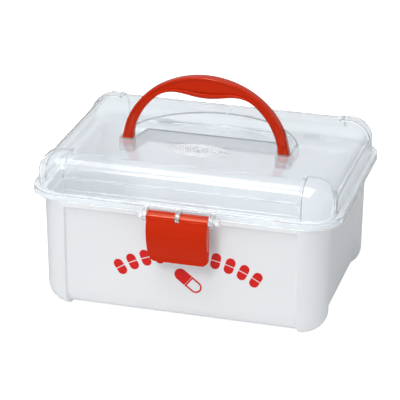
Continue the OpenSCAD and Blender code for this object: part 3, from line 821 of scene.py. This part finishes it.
def begin_tree(name, inputs):
    """inputs: names to kinds. Returns the tree and the sockets that give those inputs."""
    tree = bpy.data.node_groups.new(name, "GeometryNodeTree")
    for label, kind in inputs.items():
        tree.interface.new_socket(label, in_out="INPUT", socket_type="NodeSocket" + kind)
    tree.interface.new_socket("Geometry", in_out="OUTPUT", socket_type="NodeSocketGeometry")
    return tree, tree.nodes.new("NodeGroupInput").outputs


def end_tree(tree, shape, finish):
    """Makes all copies real, gives them their finish and leads them to the output."""
    real = add_node(tree, "GeometryNodeRealizeInstances", {"Geometry": shape})
    done = add_node(tree, "GeometryNodeSetMaterial", {"Geometry": real, "Material": finish})
    add_node(tree, "NodeGroupOutput", {"Geometry": done})


def grow_piece(name, tree, values):
    """Runs a tree on an empty object and returns what it made as a plain mesh object."""
    obj = new_object(name, bpy.data.meshes.new(name))
    step = obj.modifiers.new("nodes", "NODES")
    step.node_group = tree
    for item in tree.interface.items_tree:
        if item.in_out == "INPUT":
            step[item.identifier] = values[item.name]
    settle(obj)
    tell(obj)
    return obj


print("node helpers ready")

# %% [markdown]
# The pill that was just drawn is the stamp. The tree sets it on the points of an arc, turns
# each copy so that it stands square to the arc, makes the copies real and inks them.

# %% Row of printed pills
tree, given = begin_tree("pill_row", {
    "Stamp": "Object", "Radius": "Float", "Start": "Float", "Sweep": "Float", "Count": "Int",
    "Ink": "Material"})
track = add_node(tree, "GeometryNodeCurveArc", {
    "Resolution": 64, "Radius": given["Radius"], "Start Angle": given["Start"],
    "Sweep Angle": given["Sweep"]})
stops = add_node(tree, "GeometryNodeCurveToPoints", {"Curve": track, "Count": given["Count"]})
stamp = add_node(tree, "GeometryNodeObjectInfo", {"Object": given["Stamp"]})
spot = add_node(tree, "GeometryNodeInputPosition")
turn = add_node(tree, "FunctionNodeAlignRotationToVector", {"Vector": spot}, axis="Y")
row = add_node(tree, "GeometryNodeInstanceOnPoints", {
    "Points": stops, "Instance": stamp.outputs["Geometry"], "Rotation": turn})
end_tree(tree, row, given["Ink"])
red_ink = bpy.data.materials.new("red_printing_ink")
pill_row = grow_piece("pill_row", tree, {
    "Stamp": pill_stamp, "Radius": ROW_R * MM, "Count": PILL_COUNT, "Ink": red_ink,
    "Start": math.radians(90 - ROW_TILT + ROW_SWEEP / 2), "Sweep": math.radians(-ROW_SWEEP)})
bpy.data.objects.remove(pill_stamp)

# %% [markdown]
# The large capsule is tilted. One half is solid ink, the other half is only a line round it, so
# that it reads as a capsule of two colours. Both marks were drawn flat, and one function lays
# them on the wall: across stays across, up becomes height, and thickness points outwards.

# %% Large printed capsule
CAPSULE_X, CAPSULE_Z, CAPSULE_TURN = 6.5, 36.4, 52.0
CAPSULE_W, CAPSULE_L, CAPSULE_GAP, LINE_W = 10.0, 24.5, 0.6, 1.3


def lay_on_wall(obj, x, z):
    for v in obj.data.vertices:
        height = v.co.y + z * MM
        wall = WALL_AT_FOOT * MM + WALL_LEAN * (height - WALL_FOOT_Z * MM)
        v.co = (v.co.x + x * MM, wall - v.co.z, height)
    obj.data.update()


bm = bmesh.new()
ink_plate(bm, pill_half(CAPSULE_W, CAPSULE_L, 0))
ink_plate(bm, pill_half(CAPSULE_W, CAPSULE_L, CAPSULE_GAP, -1),
          pill_half(CAPSULE_W - 2 * LINE_W, CAPSULE_L - 2 * LINE_W, CAPSULE_GAP + 2 * LINE_W, -1))
bmesh.ops.rotate(bm, verts=bm.verts, matrix=Matrix.Rotation(math.radians(CAPSULE_TURN), 3, "Z"))
capsule_print = finish_mesh(bm, "capsule_print")
capsule_print.data.materials.append(red_ink)
lay_on_wall(capsule_print, CAPSULE_X, CAPSULE_Z)
lay_on_wall(pill_row, ROW_X, ROW_Z)
tell(capsule_print)

# %% [markdown]
# On top of the lid sits a moulded oval: two oval ribs, a ring of beads between them and a wave
# rib across the middle. The tree stretches circles to ovals, sweeps a small round profile along
# two of them and sets beads on points of a third.

# %% Moulded oval on the lid
OVAL_X, OVAL_Y, OVAL_W, OVAL_D, RIB_R, BEAD_R, BEAD_COUNT = 1.5, -34.0, 43.0, 22.0, 0.5, 0.6, 44
RIB_SHARES, BEAD_SHARE = (1.0, 0.72), 0.86
tree, given = begin_tree("oval_ornament", {
    "Width": "Float", "Depth": "Float", "Rib radius": "Float", "Bead radius": "Float",
    "Bead count": "Int", "Finish": "Material"})


def stretched(curve):
    """Scales a curve of about unit size to the oval's width and depth."""
    size = add_node(tree, "ShaderNodeCombineXYZ", {
        "X": given["Width"], "Y": given["Depth"], "Z": 1.0})
    return add_node(tree, "GeometryNodeTransform", {"Geometry": curve, "Scale": size})


def oval_track(share):
    """An oval curve at a share of the full width and depth."""
    return stretched(add_node(tree, "GeometryNodeCurvePrimitiveCircle", {
        "Resolution": 72, "Radius": share / 2}))


def sweep_rib(curve):
    profile = add_node(tree, "GeometryNodeCurvePrimitiveCircle", {
        "Resolution": 8, "Radius": given["Rib radius"]})
    return add_node(tree, "GeometryNodeCurveToMesh", {
        "Curve": curve, "Profile Curve": profile, "Fill Caps": True})


ribs = [sweep_rib(oval_track(share)) for share in RIB_SHARES]
bead = add_node(tree, "GeometryNodeMeshIcoSphere", {
    "Radius": given["Bead radius"], "Subdivisions": 2})
steps = add_node(tree, "GeometryNodeCurveToPoints", {
    "Curve": oval_track(BEAD_SHARE), "Count": given["Bead count"]})
beads = add_node(tree, "GeometryNodeInstanceOnPoints", {"Points": steps, "Instance": bead})
print("oval tree has", len(tree.nodes), "nodes so far")

# %% [markdown]
# A wave runs across the middle of the oval. It starts as a straight line of 64 points. The
# cosine of each point's place lifts it, and the round profile of the other ribs is swept along
# it. Ribs and beads are then joined, made real and given their finish.

# %% Wave rib, join and finish
WAVE_TURNS, WAVE_RISE, WAVE_SHARE = 3.5, 0.13, 0.56


def math_node(operation, first, second=0.0):
    return add_node(tree, "ShaderNodeMath", {0: first, 1: second}, operation=operation)


line = add_node(tree, "GeometryNodeCurvePrimitiveLine", {
    "Start": (-WAVE_SHARE / 2, 0, 0), "End": (WAVE_SHARE / 2, 0, 0)})
fine = add_node(tree, "GeometryNodeResampleCurve", {"Curve": line, "Count": 64})
spot = add_node(tree, "GeometryNodeInputPosition")
along = add_node(tree, "ShaderNodeSeparateXYZ", {"Vector": spot}).outputs["X"]
wave = math_node("COSINE", math_node("MULTIPLY", along, 2 * math.pi * WAVE_TURNS / WAVE_SHARE))
shift = add_node(tree, "ShaderNodeCombineXYZ", {"Y": math_node("MULTIPLY", wave, WAVE_RISE)})
bent = add_node(tree, "GeometryNodeSetPosition", {"Geometry": fine, "Offset": shift})
joined = tree.nodes.new("GeometryNodeJoinGeometry")
for shape in ribs + [sweep_rib(stretched(bent)), beads]:
    set_inputs(tree, joined, {"Geometry": shape})
end_tree(tree, joined, given["Finish"])
frosted = bpy.data.materials.new("frosted_relief_plastic")
oval = grow_piece("oval_ornament", tree, {
    "Width": OVAL_W * MM, "Depth": OVAL_D * MM, "Rib radius": RIB_R * MM,
    "Bead radius": BEAD_R * MM, "Bead count": BEAD_COUNT, "Finish": frosted})
for v in oval.data.vertices:
    v.co = (v.co.x + OVAL_X * MM, v.co.y + OVAL_Y * MM, LID_TOP * MM + v.co.z)
soft_shading(oval, 60)

# %% [markdown]
# Every finish is procedural and reads the object's own coordinates, so it stays put when a
# piece moves. Moulded plastic is never quite even: its gloss drifts slowly over the surface, the
# steel of the mould leaves a very fine grain, and the colour has faint clouds where the melt
# flowed. One function makes these three variations, and each plastic sets how strong they are.

# %% Solid plastics and ink
FLOW_SCALE, FLOW_DETAIL, GLOSS_DRIFT, GRAIN_SCALE, GRAIN_DEPTH = 22, 3, 0.2, 1100, 0.0001


def plastic(name, colour, roughness, grain=0.0, cloud=0.03, specular=0.5, gleam=(1, 1, 1)):
    material = bpy.data.materials.get(name) or bpy.data.materials.new(name)
    material.use_nodes = True
    tree = material.node_tree
    place = add_node(tree, "ShaderNodeTexCoord").outputs["Object"]
    flow = add_node(tree, "ShaderNodeTexNoise", {
        "Vector": place, "Scale": FLOW_SCALE, "Detail": FLOW_DETAIL})
    fine = add_node(tree, "ShaderNodeTexNoise", {"Vector": place, "Scale": GRAIN_SCALE})
    tint = add_node(tree, "ShaderNodeMix", {
        "Factor": flow, "A": (*[c * (1 - cloud) for c in colour], 1),
        "B": (*[min(c * (1 + cloud), 1) for c in colour], 1)}, data_type="RGBA")
    gloss = add_node(tree, "ShaderNodeMapRange", {
        "Value": flow, "To Min": roughness * (1 - GLOSS_DRIFT),
        "To Max": roughness * (1 + GLOSS_DRIFT)})
    bump = add_node(tree, "ShaderNodeBump", {
        "Height": fine, "Strength": grain, "Distance": GRAIN_DEPTH})
    set_inputs(tree, tree.nodes["Principled BSDF"], {
        "Base Color": tint.outputs["Result"], "Roughness": gloss, "Normal": bump,
        "Specular IOR Level": specular, "Specular Tint": (*gleam, 1)})
    return material


milky = plastic("milky_tub_plastic", (0.82, 0.835, 0.85), 0.42, grain=0.12, cloud=0.012)
red = plastic("glossy_red_plastic", (0.585, 0.021, 0.002), 0.09, grain=0.05, specular=0.4,
              gleam=(1, 0.6, 0.4))
red_ink = plastic("red_printing_ink", (0.68, 0.012, 0.008), 0.4, grain=0.2, cloud=0.06,
                  specular=0.2)
print("solid plastics ready")

# %% [markdown]
# The lid's plastic is clear but hazy. A glass shader alone gives a laboratory beaker, too
# sharp and too dark at its edges, and a see-through mix alone gives a ghost without edges.
# Polypropylene does both: some light goes straight on and is bent, and the rest is scattered by
# the plastic and lights it up in a milky white. The transmission weight sets the share of each.
# For shadow rays the plastic turns into a plain transparent one, so that the lamps reach the
# inside.

# %% Hazy clear plastic
PLASTIC_IOR = 1.4


def hazy_plastic(name, tint, clear_share, roughness, lets_through):
    material = plastic(name, tint, roughness, grain=0.04, cloud=0.01)
    tree = material.node_tree
    shader = set_inputs(tree, tree.nodes["Principled BSDF"], {
        "Transmission Weight": clear_share, "IOR": PLASTIC_IOR})
    shadow = add_node(tree, "ShaderNodeLightPath").outputs["Is Shadow Ray"]
    passing = add_node(tree, "ShaderNodeBsdfTransparent", {"Color": (*[lets_through] * 3, 1)})
    mix = add_node(tree, "ShaderNodeMixShader", {0: shadow, 1: shader, 2: passing})
    set_inputs(tree, tree.nodes["Material Output"], {"Surface": mix})
    return material


clear = hazy_plastic("hazy_lid_plastic", (0.86, 0.886, 0.905), 0.84, 0.09, 0.78)
axle_clear = hazy_plastic("clear_axle_plastic", (0.9, 0.92, 0.94), 0.75, 0.1, 0.85)
frosted = plastic("frosted_relief_plastic", (0.95, 0.96, 0.97), 0.4, grain=0.1, cloud=0.01)
print("materials:", sorted(m.name for m in bpy.data.materials if m.use_nodes))

# %% [markdown]
# Each piece rides on the body that it moves with, so the oval opens with the lid and the print
# stays with the tub. Four pieces take the place of plain solids. The axle and the hinge pins
# are plain cylinders on the real case too, so their solids stay and only get a finish.

# %% Ride, replace and finish
for piece, node, body, slot, finish in (
        (tub, "base_tub", "tub_body", "tub_plastic", milky),
        (lid, "lid", "lid_body", "clear_plastic", clear),
        (handle, "handle", "handle_body", "red_plastic", red),
        (latch, "latch", "latch_body", "red_plastic", red)):
    piece.data.materials.clear()
    piece.data.materials.append(finish)
    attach(piece, body)
    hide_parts(node)
for node, finish in (("latch_axle", axle_clear), ("hinge_pin_left", milky),
                     ("hinge_pin_right", milky)):
    frame["nodes"][node].material_slots[0].material = finish
for piece, body, slot in ((pill_row, "tub_body", "red_plastic"),
                          (capsule_print, "tub_body", "red_plastic"),
                          (oval, "lid_body", "clear_plastic")):
    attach(piece, body)
print("pieces dressed")

# %% [markdown]
# The stage is a pale floor in a white surround. Light Path tells the rays that look from the
# rays that light. For the camera, and for what shows through the clear lid, floor and surround
# are white. As light on the plastics the surround is weak, so that the lamps draw the shapes. In
# gloss both are darker than they look: a photographer does that with dark cards, because red
# edges that mirror a white room turn pink. A small key lamp from the front left draws the
# highlights, a large one overhead lights the lid, and a weak one fills the right side.

# %% Floor, world and lamps
# For each, in this order: as light on the plastics, as it looks, and in gloss
SURROUND = (((0.93, 0.965, 1), 0.27), ((1, 1, 1), 1), ((1, 1, 1), 0.5))
FLOOR_ALBEDO_GLOW = ((0.9, 0.22), (0.9, 0.72), (0.3, 0))
FLOOR_HALF, FLOOR_ROUGHNESS = 4.0, 0.9


def lamp(name, place, target, width, depth, watts):
    data = bpy.data.lights.new(name, "AREA")
    data.shape, data.size, data.size_y, data.energy = "RECTANGLE", width, depth, watts
    obj = new_object(name, data)
    obj.location = place
    obj.rotation_euler = (Vector(target) - Vector(place)).to_track_quat("-Z", "Y").to_euler()


def ray_test(tree, first, second, operation):
    """Joins two answers of a Light Path node: MAXIMUM is either, SUBTRACT is only the first."""
    path = add_node(tree, "ShaderNodeLightPath").outputs
    return add_node(tree, "ShaderNodeMath", {0: path[first], 1: path[second]},
                    operation=operation, use_clamp=True)


def shader_by_ray(tree, lighting, shown, mirrored):
    """lighting for the lamps' bounces, shown for the camera, mirrored for gloss."""
    seen = add_node(tree, "ShaderNodeMixShader", {
        0: ray_test(tree, "Is Camera Ray", "Is Transmission Ray", "MAXIMUM"),
        1: lighting, 2: shown})
    return add_node(tree, "ShaderNodeMixShader", {
        0: ray_test(tree, "Is Glossy Ray", "Is Transmission Ray", "SUBTRACT"),
        1: seen, 2: mirrored})


def white_world():
    world = bpy.data.worlds.new("white_surround")
    bpy.context.scene.world = world
    world.use_nodes = True
    tree = world.node_tree
    levels = [add_node(tree, "ShaderNodeBackground", {"Color": (*colour, 1), "Strength": level})
              for colour, level in SURROUND]
    set_inputs(tree, tree.nodes["World Output"], {"Surface": shader_by_ray(tree, *levels)})


def floor_plane():
    bm = bmesh.new()
    bm.faces.new([bm.verts.new((x * FLOOR_HALF, y * FLOOR_HALF, 0))
                  for x, y in ((-1, -1), (1, -1), (1, 1), (-1, 1))])
    floor = finish_mesh(bm, "pale_floor")
    material = bpy.data.materials.new("pale_floor")
    material.use_nodes = True
    tree = material.node_tree
    levels = [add_node(tree, "ShaderNodeBsdfPrincipled", {
        "Base Color": (albedo, albedo, albedo, 1), "Roughness": FLOOR_ROUGHNESS,
        "Emission Color": (1, 1, 1, 1), "Emission Strength": glow})
        for albedo, glow in FLOOR_ALBEDO_GLOW]
    set_inputs(tree, tree.nodes["Material Output"], {"Surface": shader_by_ray(tree, *levels)})
    floor.data.materials.append(material)


floor_plane()
white_world()
lamp("key_lamp", (-0.363, -1.456, 1.41), (0, 0, 0.06), 0.4, 0.5, 12)
lamp("top_lamp", (-0.25, -0.5, 1.5), (0, 0, 0.1), 1.0, 0.7, 10.6)
lamp("fill_lamp", (1.6, 0.1, 0.7), (0, 0, 0.06), 1.0, 1.0, 3.2)
bpy.context.scene.view_settings.view_transform = "Standard"
print("stage set")
